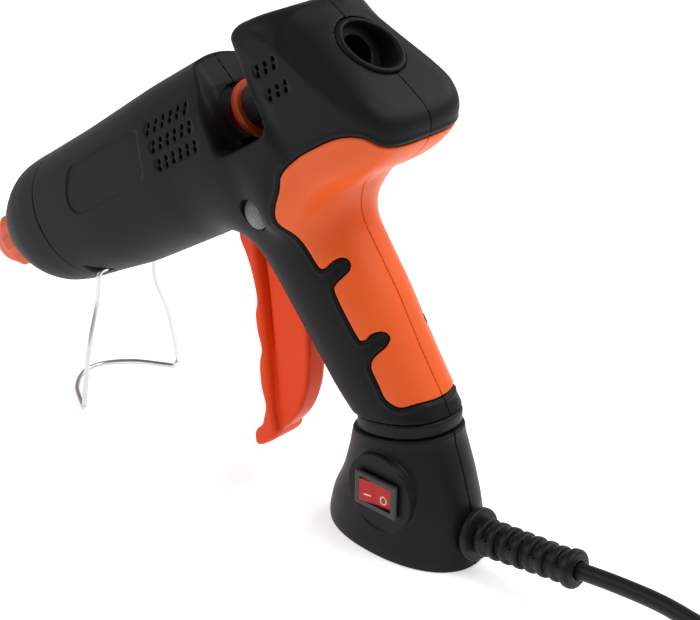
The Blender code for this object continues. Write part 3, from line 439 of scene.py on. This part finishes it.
SCREWS = [barrel(-88, 18.2), barrel(-60, -25.5), barrel(62, -16.0), Vector((-9, 0, 152))]
SCREWS += [handle(112, 7), handle(66, 4)]


BARREL_END, HANDLE_TOP = 41, 142
HUMP_FILLET, HANDLE_FILLET = 9.0, 15.0
ROUND_FROM, ROUND_LENGTH = 30, 33.0     # the rear face's rounded end, measured down the face


def to_rear_face(x, z):
    """Distances down the hump's rear face from its top, and above it."""
    return ((x - HUMP_TOP_X) * REAR_FACE[0] + (z - HUMP_TOP_Z) * REAR_FACE[1],
            (z - HUMP_TOP_Z) * REAR_FACE[0] - (x - HUMP_TOP_X) * REAR_FACE[1])


def skin(x, y, z):
    """The housing's outer form, before the saddle gap: barrel, hump and handle, with round fillets."""
    s, o = to_barrel(x, z)
    axis, wide, tall = BARREL(s)
    tube = smooth_max(oval(y, o - axis, wide, tall, 2.1), s - BARREL_END, 3.0)
    tube = smooth_max(tube, COLLAR_S - s, 0.7)
    down, above = to_rear_face(x, z)
    flank = np.where(down > ROUND_FROM, oval(down - ROUND_FROM, y, ROUND_LENGTH, HUMP_W, 2.7),
                     np.abs(y) - HUMP_W)
    crown = 8.0 + 14.0 * np.clip((45 - down) / 35, 0, 1) * ramp(above, -13, -2) * ramp(down, -10, 8)
    hump = smooth_max(HUMP(x, z), flank, crown)
    up = z * cos(LEAN) - x * sin(LEAN)
    back = x * cos(LEAN) + z * sin(LEAN) - HANDLE_AT
    middle, wide, deep = HANDLE(up)
    stem = smooth_max(oval(y, back - middle, wide, deep, 2.3), up - HANDLE_TOP, 6.0)
    form = smooth_min(smooth_min(tube, hump, HUMP_FILLET), stem, HANDLE_FILLET)
    return smooth_max(form, neck_plane(NECK_SEAM, x) - z, 0.8)


def saddle_gap(s, o, y):
    """Negative in the gap; its front wall is scooped towards the middle and leans forward at the top."""
    front = 10.0 + 6.5 * ramp(np.abs(y), 8, 22) - 0.3 * np.maximum(o - 13, 0)
    return smooth_max(smooth_max(front - s, s - 43, 4.0), -12.5 - o, 5.0)


PLATE = Outline([(-74, 6), (-71, 11.6), (-60, 12), (-40, 12), (-24.5, 11.2), (-22.6, 8), (-23.4, 0),
                 (-26, -5.4), (-34, -6.4), (-60, -6.6), (-71, -6), (-75, -3), (-75.6, 2)])
FRONT_SLOTS = ((-18.0, 10.0, 9.0), (-16.5, 10.5, 2.4), (-16.5, 10.0, -4.4))
REAR_SLOTS = ((48.5, 61.5, 7.2), (49.5, 62.5, -1.4))
SLOT_HALF = 2.5


def slot_details(s, o):
    """For the vents: distance to the shallow slots, and to the small slanted holes in them."""
    slots = np.full_like(s, 9.0)
    holes = np.full_like(s, 9.0)
    for table, pairs in ((FRONT_SLOTS, 6), (REAR_SLOTS, 3)):
        for s0, s1, middle in table:
            u = np.clip(s, s0 + SLOT_HALF, s1 - SLOT_HALF)
            slots = np.minimum(slots, np.hypot(s - u, o - middle) - SLOT_HALF)
            pitch = (s1 - s0) / pairs
            for i in range(pairs):
                centre = s0 + pitch * (i + 0.5)
                for side in (-1, 1):
                    a = s - centre - side * 0.5
                    b = o - middle - side * 1.15
                    along, square = a * 0.45 + b * 0.9, a * 0.9 - b * 0.45
                    holes = np.minimum(holes, np.hypot(along / 1.25, square) - 0.85)
    return slots, holes


def detailed_skin(x, y, z):
    s, o = to_barrel(x, z)
    form = skin(x, y, z)
    inlay = GRIP(x, z)
    form = form - 0.35 * np.exp(-((inlay - 1.5) / 0.6) ** 2)
    slots, holes = slot_details(s, o)
    flank = ramp(np.abs(y), 10, 14)
    form = form + 0.45 * flank * ramp(-PLATE(s, o), -0.35, 0.35)
    form = form + 0.35 * flank * ramp(-slots, -0.3, 0.3)
    form = smooth_max(form, -saddle_gap(s, o, y), 1.4)
    holes = np.where(np.abs(y) > 10, holes, 9.0)
    return np.maximum(form, -np.maximum(holes, -form - 2.2))


def box_field(*sides):
    """The largest of (|offset| - half size) pairs."""
    result = None
    for offset, half in sides:
        d = np.abs(offset) - half
        result = d if result is None else np.maximum(result, d)
    return result


def housing(side):
    def field(x, y, z):
        s, o = to_barrel(x, z)
        outer = detailed_skin(x, y, z)
        plain = smooth_max(skin(x, y, z), -saddle_gap(s, o, y), 1.4)
        around = np.hypot(y, o)
        shell = np.maximum(outer, -(plain + WALL))
        bore = np.maximum(np.maximum(around - 6.4, s - 14), 1.5 - s)
        ring_room = np.maximum(np.maximum(around - 12.0, s - 14), 8.1 - s)
        tube_way = np.maximum(around - 9.4, np.abs(s - 46) - 6)
        guide_way = np.maximum(np.minimum(around - 9.4 + np.maximum(0, GUIDE_END - s),
                                          np.maximum(around - 12.0, GUIDE_WAY - s)), GUIDE_END - s)
        lug_way = box_field((y, 6.2), (s - 18.5, 12.5), (o + 19, 11))
        lever_way = box_field((y, 2.9), (s - 45, 7), (o - 10.9, 5.9))
        trigger_way = np.maximum(TRIGGER_WAY(x, z), np.abs(y) - 8.8)
        web_way = np.maximum(WEB_WAY(x, z), np.abs(y) - 5.6)
        stand_pockets = box_field((x - STAND_X, 4.5), (np.abs(y) - 14.7, 5), (z - STAND_Z + 2.4, 5.1))
        neck_way = np.maximum(np.hypot(x + 4, y) - 9, z - 60)
        chamber_room = np.maximum(oval(y, o + 3, 23.2, 24.5, 2.1), s - COLLAR_S - 4)
        grip_bed = np.maximum(GRIP(x, z) - GAP, -(skin(x, y, z) + 1.6))
        cuts = [bore, ring_room, tube_way, guide_way, lug_way, lever_way, trigger_way, web_way,
                stand_pockets, neck_way, chamber_room, grip_bed]
        if side < 0:
            cuts.append(np.maximum(np.hypot(x - LENS_X, z - LENS_Z) - LENS_R - GAP, y + 12))
        else:
            for place in SCREWS:
                away = np.hypot(x - place.x, z - place.z)
                shell = np.minimum(shell, np.maximum(np.maximum(plain, away - 5.0), 2 - y))
                cuts.append(np.maximum(away - 3.3, 8.7 - y))
                cuts.append(away - 1.8)
        for cut in cuts:
            shell = np.maximum(shell, -cut)
        return np.maximum(shell, SEAM - side * y)
    return field


def grip(side):
    def field(x, y, z):
        form = skin(x, y, z)
        layer = smooth_max(form - 0.3, -(form + 1.3), 0.3)
        return np.maximum(smooth_max(layer, GRIP(x, z), 1.0), SEAM - side * y)
    return field


def make_housing():
    for name, side in (("left", -1), ("right", 1)):
        y0, y1 = (-28.5, 0.6) if side < 0 else (-0.6, 28.5)
        moulded("shell_" + name, housing(side), (-188, y0, 48), (24, y1, 190.5), BLACK, "gun",
                "housing_" + name)
        moulded("inlay_" + name, grip(side), (-45, y0, 56), (24, y1, 158), ORANGE, "gun",
                "grip_" + name)


# ---------------------------------------------------------------- nose

NOSE_S = -136.0
COLLAR = stations(((COLLAR_S - GAP, -3.0, 25.9, 27.2), (-112, -2.4, 25.6, 26.8), (-120, -1.8, 24.8, 25.8),
                   (-126, -1.0, 23.2, 24.0), (-131, -0.3, 20.9, 21.3), (-134.4, 0, 18.6, 18.8),
                   (NOSE_S, 0, 16.8, 16.8)), width=6)
NOZZLE_S = -104.0
SLEEVE = Outline([(6.4, 58.5), (8.4, 57), (10.2, 53), (10.9, 46), (14.0, 45), (14.6, 42.5),
                  (14.0, 37.5), (11.0, 36.5), (11.0, 34), (9.0, 34), (9.0, 41.4), (7.0, 41.4),
                  (7.0, 46.2), (5.0, 53.6)], smooth=False)
LOBES = 9


def collar(x, y, z):
    s, o = to_barrel(x, z)
    axis, wide, tall = COLLAR(s)
    outer = oval(y, o - axis, wide, tall, 2.05)
    body = smooth_max(smooth_max(outer, NOSE_S - s, 1.6), s - COLLAR_S + GAP, 0.7)
    hollow = np.maximum(outer + 2.4, NOSE_S + 2.6 - s)
    mouth = np.maximum(np.hypot(y, o) - 15.0, s + 126)
    return smooth_max(smooth_max(body, -hollow, 0.4), -mouth, 1.2)


def sleeve(x, y, z):
    s, o = to_barrel(x, z)
    around = np.hypot(y, o)
    body = SLEEVE(around, NOZZLE_S - s)
    turn = np.arctan2(o, y) - 0.07
    step = 2 * pi / LOBES
    turn = turn - step * np.round(turn / step)
    notch = np.hypot(around * np.cos(turn) - 15.6, around * np.sin(turn)) - 2.7
    notch = np.maximum(notch, np.abs(NOZZLE_S - s - 41) - 5.2)
    return smooth_max(body, -notch, 0.8)


def make_nose():
    moulded("collar", collar, (-200, -28, 28), (-152, 28, 100), BLACK, "gun", "nose_collar")
    moulded("lobed_sleeve", sleeve, (-236, -16, 26), (-195, 16, 82), SILICONE, "gun", "nozzle_sleeve",
            step=STEP * 0.8)


# ---------------------------------------------------------------- trigger

FLANGE = Outline([(-79, 94.5), (-75.5, 88), (-72.6, 81), (-70.4, 72), (-71.2, 66), (-70.2, 59),
                  (-68.2, 52.5), (-69.2, 46), (-68.4, 37), (-66.2, 29.5), (-67, 24), (-68.2, 20),
                  (-71.5, 16), (-70.6, 10.5), (-66, 12.4), (-60, 19), (-62, 30), (-64.5, 52),
                  (-67.6, 76), (-70, 90), (-72, 100), (-78, 100)])
WEB = Outline([(-70, 96), (-66, 72), (-62, 28), (-66, 14.4), (-61.5, 18.6), (-56, 24), (-51.4, 30.5),
               (-48.4, 38), (-46.6, 47), (-46.6, 64), (-50, 80), (-56, 92), (-61, 103), (-66, 112),
               (-72, 106)])
PIN_X, PIN_Z = -66.0, 106.0
FORK_S, FORK_O = 22.0, -17.0


def trigger(x, y, z):
    flange = smooth_max(FLANGE(x, z), np.abs(y) - 8.0, 2.4)
    web = smooth_max(WEB(x, z), np.abs(y) - 5.0, 2.0)
    body = smooth_min(flange, web, 1.5)
    end = barrel(FORK_S, FORK_O)
    arm = (end - Vector((PIN_X, 0, PIN_Z))).normalized()
    along = (x - PIN_X) * arm.x + (z - PIN_Z) * arm.z
    square = (x - PIN_X) * arm.z - (z - PIN_Z) * arm.x
    length = (end - Vector((PIN_X, 0, PIN_Z))).length
    hub = np.maximum(np.hypot(x - PIN_X, z - PIN_Z) - 4.2, np.abs(y) - 8.4)
    bar = np.maximum(box_field((along - length / 2, length / 2 + 2), (square, 3.0), (y, 4.9)),
                     -box_field((along - length, 11), (square, 4), (y, 3.0)))
    link = np.maximum(np.hypot(along - length, square) - 1.5, np.abs(y) - 4.6)
    body = np.minimum(np.minimum(body, hub), np.minimum(bar, link))
    return np.maximum(body, 1.8 - np.hypot(x - PIN_X, z - PIN_Z))


def make_trigger():
    moulded("trigger_lever", trigger, (-81, -9.4, 9), (-44, 9.4, 136), TRIGGER_ORANGE, "trigger",
            "trigger")


# ---------------------------------------------------------------- base

BASE = stations(((0, -1.0, 31.6, 19.6), (2, -1.0, 32.2, 20.2), (12, -0.8, 30.4, 19.6),
                 (22, 0.5, 27.2, 18.4), (32, 0.2, 24.4, 17.4), (46, -1.4, 20.4, 16.2)), width=8)
SWITCH_X, SWITCH_Z = 1.5, 26.0
PANEL_Y, PANEL_R = -19.2, 14.5


def base(side):
    def field(x, y, z):
        axis, deep, wide = BASE(z)
        outer = oval(x - axis, y, deep, wide, 2.2)
        body = smooth_max(outer, z - neck_plane(SKIRT_TOP, x), 1.0)
        disc = np.hypot(x - SWITCH_X, z - SWITCH_Z) - PANEL_R
        body = smooth_min(body, np.maximum(np.maximum(disc, PANEL_Y - y), y + 8), 0.9)
        body = smooth_max(body, -np.maximum(disc, y - PANEL_Y), 0.6)
        body = np.maximum(smooth_max(body, -z, 0.8), -(outer + WALL))
        along, up = to_relief(x, z)
        around = np.hypot(y, up)
        body = np.maximum(body, -np.maximum(around - 10.2, 1.6 - along))
        body = np.maximum(body, -np.maximum(around - 5.9, np.abs(along + 1.5) - 10.5))
        switch = np.maximum(box_field((x - SWITCH_X, 8.6), (z - SWITCH_Z, 6.05)), y + 10)
        return np.maximum(np.maximum(body, -switch), GAP / 2 - side * y)
    return field


def neck(x, y, z):
    outer = oval(x + 1.6, y, 19.3, 15.6, 2.2)
    band = smooth_max(z - neck_plane(RING_TOP, x), neck_plane(SKIRT_TOP + GAP, x) - z, 0.4)
    return np.maximum(smooth_max(outer, band, 1.4), 9.4 - np.hypot(x + 3, y))


def make_base():
    for name, side in (("left", -1), ("right", 1)):
        y0, y1 = (-22, 0.6) if side < 0 else (-0.6, 22)
        moulded("skirt_" + name, base(side), (-35, y0, -1), (33, y1, 52), BASE_BLACK, "gun",
                "base_" + name)
    moulded("neck_band", neck, (-26, -17.5, 39), (22, 17.5, 58), BASE_BLACK, "gun", "neck_ring")


RIBS = 7
RIB_PITCH = (RELIEF_L - 10) / RIBS


def boot(x, y, z):
    along, up = to_relief(x, z)
    around = np.hypot(y, up)
    body = np.maximum(around - 4.7, np.abs(along - RELIEF_L / 2 + 2.5) - RELIEF_L / 2 - 2.5)
    body = np.minimum(body, smooth_max(around - 9.6, np.abs(along - 3.2) - 1.4, 1.0))
    body = np.minimum(body, smooth_max(around - 6.9, np.abs(along - RELIEF_L + 2.2) - 2.0, 1.6))
    for i in range(RIBS):
        middle = 6.0 + RIB_PITCH * (i + 0.3)
        radius = 6.9 - 0.1 * i
        rib = smooth_max(around - radius, np.abs(along - middle) - 1.35, 0.9)
        body = smooth_min(body, rib, 0.5)
        side = np.abs(y) if i % 2 else np.abs(up)
        bridge = np.maximum(np.maximum(around - radius + 0.5, np.abs(along - middle - RIB_PITCH / 2) - 2.6),
                            side - 2.0)
        body = smooth_min(body, bridge, 0.5)
    return np.maximum(body, CORD_R + GAP - around)


def make_boot():
    moulded("ribbed_boot", boot, (21, -10.5, 2), (77, 10.5, 30), RUBBER, "gun", "strain_relief",
            step=STEP * 0.7)


# ---------------------------------------------------------------- switch and lens

def soften(name, width, segments=3):
    """Rounds the sharp edges of a CAD node that is shown as it is."""
    node = frame["nodes"][name]
    bevel = node.modifiers.new("bevel", "BEVEL")
    bevel.width = width * MM
    bevel.segments = segments
    bevel.limit_method = "ANGLE"
    bevel.angle_limit = radians(40)


def lens(x, y, z):
    around = np.hypot(x - LENS_X, z - LENS_Z)
    dome = -21.6 + 1.7 * (around / LENS_R) ** 2 - y
    body = smooth_max(smooth_max(around - LENS_R, dome, 0.5), y + 14.4, 0.2)
    return np.maximum(body, -np.maximum(around - 4.4, -17.2 - y))


def make_marks():
    """A bar and a ring, raised a little from the rocker's two faces."""
    def on_face(u):
        """A point of the rocker's face, u millimetres along it."""
        rise = -2.6 + (u + 6.6) * (1.4 / 6.6) if u < 0 else -1.2 + u * (0.6 / 6.6)
        return Vector((SWITCH_X + u, PANEL_Y + rise, SWITCH_Z - 1.4))
    left = atan2(1.4, 6.6)
    right = atan2(0.6, 6.6)
    bm = bmesh.new()
    bmesh.ops.create_cube(bm, size=1)
    bmesh.ops.scale(bm, vec=Vector((2.9, 0.12, 0.55)) * MM, verts=bm.verts)
    where = Matrix.Translation(on_face(-3.3) * MM) @ Matrix.Rotation(left, 4, "Z")
    bmesh.ops.transform(bm, matrix=where, verts=bm.verts)
    mesh = bpy.data.meshes.new("mark_bar")
    bm.to_mesh(mesh)
    bm.free()
    bar = bpy.data.objects.new("mark_bar", mesh)
    bpy.context.scene.collection.objects.link(bar)
    curve = bpy.data.curves.new("mark_ring", "CURVE")
    curve.dimensions = "3D"
    curve.bevel_depth = 0.26 * MM
    curve.bevel_resolution = 3
    spline = curve.splines.new("POLY")
    count = 40
    spline.points.add(count - 1)
    for i, point in enumerate(spline.points):
        turn = 2 * pi * i / count
        u = 3.3 + 1.25 * cos(turn)
        place = on_face(3.3) + Vector((u - 3.3, (u - 3.3) * right, 1.5 * sin(turn)))
        point.co = (*(place * MM), 1)
    spline.use_cyclic_u = True
    ring = bpy.data.objects.new("mark_ring", curve)
    bpy.context.scene.collection.objects.link(ring)
    for mark in (bar, ring):
        mark.data.materials.append(MARK)
        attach(mark, "rocker")


RIM_HEIGHT = 2.3                # over the line of the rear face


def guide(x, y, z):
    """The mouth for the stick: a rolled rim round an oval opening in the hump's rear face."""
    s, o = to_barrel(x, z)
    around = np.hypot(y, o)
    height = to_rear_face(x, z)[1]
    tube = np.minimum(np.maximum(around - 11.7, GUIDE_STEP - s), around - 9.1)
    tube = np.maximum(smooth_max(tube, height - RIM_HEIGHT, 1.8), GUIDE_END - s)
    hole = np.minimum(np.maximum(around - 9.6, GUIDE_STEP + 1.2 - s), around - 6.2)
    return smooth_max(tube, -hole, 1.4)


def make_small_parts():
    moulded("stick_mouth", guide, (-46, -12.5, 156), (-7, 12.5, 190), BLACK, "gun", "rear_guide")
    moulded("patterned_lens", lens, (-64, -22, 107), (-50, -13.5, 121), LENS_GREY, "gun",
            "indicator_lens", step=STEP * 0.6)
    make_marks()
    soften("switch_rocker", 0.35)
    soften("feed_ring", 0.3)
    soften("plug_body", 0.5)


# ---------------------------------------------------------------- wire stand

STAND_TOP_Y, STAND_FOOT_Y, STAND_FOOT_X, STAND_BOW, WIRE_R = 14.4, 25.2, -150.5, 23.5, 1.0
STAND_BEND = 2.4


def line_object(name, path, radius, material, resolution=5):
    curve = bpy.data.curves.new(name, "CURVE")
    curve.dimensions = "3D"
    curve.bevel_depth = radius * MM
    curve.bevel_resolution = resolution
    curve.use_fill_caps = True
    spline = curve.splines.new("POLY")
    spline.points.add(len(path) - 1)
    for point, place in zip(spline.points, path):
        point.co = (*(Vector(place) * MM), 1)
    spline.use_smooth = True
    curve.materials.append(material)
    obj = bpy.data.objects.new(name, curve)
    bpy.context.scene.collection.objects.link(obj)
    return obj


def make_stand():
    half = [Vector((STAND_X, 6.6, STAND_Z)), Vector((STAND_X, STAND_TOP_Y - STAND_BEND, STAND_Z))]
    for i in range(1, 5):
        turn = pi / 2 * (1 - i / 4)
        half.append(Vector((STAND_X, STAND_TOP_Y - STAND_BEND + STAND_BEND * cos(turn),
                            STAND_Z - STAND_BEND + STAND_BEND * sin(turn))))
    half.append(Vector((STAND_X - 0.6, STAND_TOP_Y + 1.2, STAND_Z - 14)))
    half.append(Vector(((STAND_X + STAND_FOOT_X) / 2, (STAND_TOP_Y + STAND_FOOT_Y) / 2 + 1.4, 28)))
    half.append(Vector((STAND_FOOT_X, STAND_FOOT_Y, WIRE_R + 5)))
    half.append(Vector((STAND_FOOT_X - 0.3, STAND_FOOT_Y, WIRE_R + 2.2)))
    half.append(Vector((STAND_FOOT_X - 1.4, STAND_FOOT_Y - 0.3, WIRE_R + 0.6)))
    half.append(Vector((STAND_FOOT_X - 3.2, STAND_FOOT_Y - 1.3, WIRE_R)))
    for i in range(1, 6):
        y = (STAND_FOOT_Y - 3.4) * (1 - i / 5)
        bow = STAND_BOW * (1 - (y / STAND_FOOT_Y) ** 2)
        half.append(Vector((STAND_FOOT_X - 2.0 - bow, y, WIRE_R)))
    other = [Vector((p.x, -p.y, p.z)) for p in reversed(half[:-1])]
    wire = line_object("bent_wire", smooth_path(half + other, 0.8), WIRE_R, STEEL)
    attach(wire, "stand")
    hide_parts("wire_stand")


# ---------------------------------------------------------------- lead

COIL_X, COIL_Y, COIL_R = 215.0, -14.0, 30.0
LEAD_ROUTE = [(90, -0.4, 21.2), (108, -2.2, 23.6), (126, -5.2, 24.8), (138, -3.6, 24.2), (150, 1.0, 21.6),
              (165, 7.6, 16.6), (180, 13.4, 12.4)]
TAIL_BEND = 24.0
PLUG_Z = 30.5
COIL_START, COIL_TURNS = radians(110), 6
TURNS_ROUND = 8                 # so many strands lie side by side round the coil's middle line
LAY = CORD_R / sin(pi / TURNS_ROUND) + 0.06
COIL_Z = LAY + CORD_R + 0.1


def coil_points():
    """A helix round the coil's middle line: each turn lies beside the one before."""
    points = []
    steps = 36
    for i in range(COIL_TURNS * steps + 1):
        angle = COIL_START - 2 * pi * i / steps
        roll = -2 * pi / TURNS_ROUND * i / steps
        r = COIL_R + LAY * cos(roll)
        points.append(Vector((COIL_X + r * cos(angle), COIL_Y + r * sin(angle), COIL_Z + LAY * sin(roll))))
    return points


def tail_points():
    """The free end: it rises over the coil and bends round, straight into the plug that lies on it."""
    points = []
    low, high, until = COIL_Z + LAY, 25.6, 0.8
    for i in range(1, 13):
        t = i / 12
        turn = COIL_START + (until - COIL_START) * t
        points.append(Vector((COIL_X + COIL_R * cos(turn), COIL_Y + COIL_R * sin(turn),
                              low + (high - low) * t * t * (3 - 2 * t))))
    rest = [points[-1], Vector((COIL_X + COIL_R * cos(0.4), COIL_Y + COIL_R * sin(0.4), high + 0.3))]
    for i in range(5):
        turn = pi / 2 * i / 4
        rest.append(Vector((COIL_X + COIL_R - TAIL_BEND + TAIL_BEND * cos(turn),
                            COIL_Y - TAIL_BEND * sin(turn), PLUG_Z - 3.9 * (1 - i / 4) ** 2)))
    end = rest[-1] - Vector((3 * GAP, 0, 0))
    return points + smooth_path(rest, 3)[1:] + [end]


def make_lead():
    start = relief_axis(RELIEF_L + GAP)
    coil = coil_points()
    path = smooth_path([start, *LEAD_ROUTE, coil[0]], 4) + coil[1:] + tail_points()
    lead = line_object("lead", path, CORD_R, RUBBER, resolution=6)
    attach(lead, "gun")
    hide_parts("cord", "cord_coil", "cord_tail")
    length = sum((b - a).length for a, b in zip(path, path[1:])) * MM


# ---------------------------------------------------------------- finishes of the CAD nodes

FINISH = {"black_plastic": INNER_BLACK, "orange_grip": ORANGE, "red_rocker": RED, "bright_steel": STEEL,
          "cast_aluminium": ALUMINIUM, "brass": BRASS, "orange_silicone": SILICONE, "grey_lens": LENS_GREY,
          "white_ceramic": CERAMIC, "cord_rubber": RUBBER, "blue_wire": BLUE, "brown_wire": BROWN}


def finish_nodes():
    for part in frame["record"]["subparts"]:
        node = frame["nodes"][part["node"]]
        for slot in node.material_slots:
            slot.material = FINISH[part["material_slot"]]


# ---------------------------------------------------------------- studio

def area_light(name, place, target, size, power):
    data = bpy.data.lights.new(name, "AREA")
    data.shape = "SQUARE"
    data.size = size
    data.energy = power
    light = bpy.data.objects.new(name, data)
    light.location = place
    light.rotation_euler = (Vector(target) - Vector(place)).to_track_quat("-Z", "Y").to_euler()
    bpy.context.scene.collection.objects.link(light)


def make_studio():
    bpy.ops.mesh.primitive_plane_add(size=12, location=(0, 0, 0))
    floor = bpy.context.object
    floor.name = "floor"
    white = plastic("studio_white", (0.9, 0.9, 0.9), 0.9, level=0.1)
    shader = white.node_tree.nodes["Principled BSDF"]
    shader.inputs["Emission Color"].default_value = (1, 1, 1, 1)
    shader.inputs["Emission Strength"].default_value = 0.55
    floor.data.materials.append(white)
    world = bpy.data.worlds.new("studio")
    world.use_nodes = True
    world.node_tree.nodes["Background"].inputs["Color"].default_value = (1, 1, 1, 1)
    world.node_tree.nodes["Background"].inputs["Strength"].default_value = 0.30
    bpy.context.scene.world = world
    area_light("key", (0.5, 0.25, 1.1), (-0.05, 0, 0.08), 0.7, 9)
    area_light("fill", (-0.9, -0.7, 0.8), (-0.05, 0, 0.08), 0.6, 4)
    area_light("edge", (0.1, 0.9, 0.7), (-0.05, 0, 0.1), 0.6, 4)
    bpy.context.scene.view_settings.view_transform = "Standard"


# ---------------------------------------------------------------- making

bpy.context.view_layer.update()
make_camera()
make_lead()
finish_nodes()
make_housing()
make_nose()
make_trigger()
make_base()
make_boot()
make_small_parts()
make_stand()
make_studio()
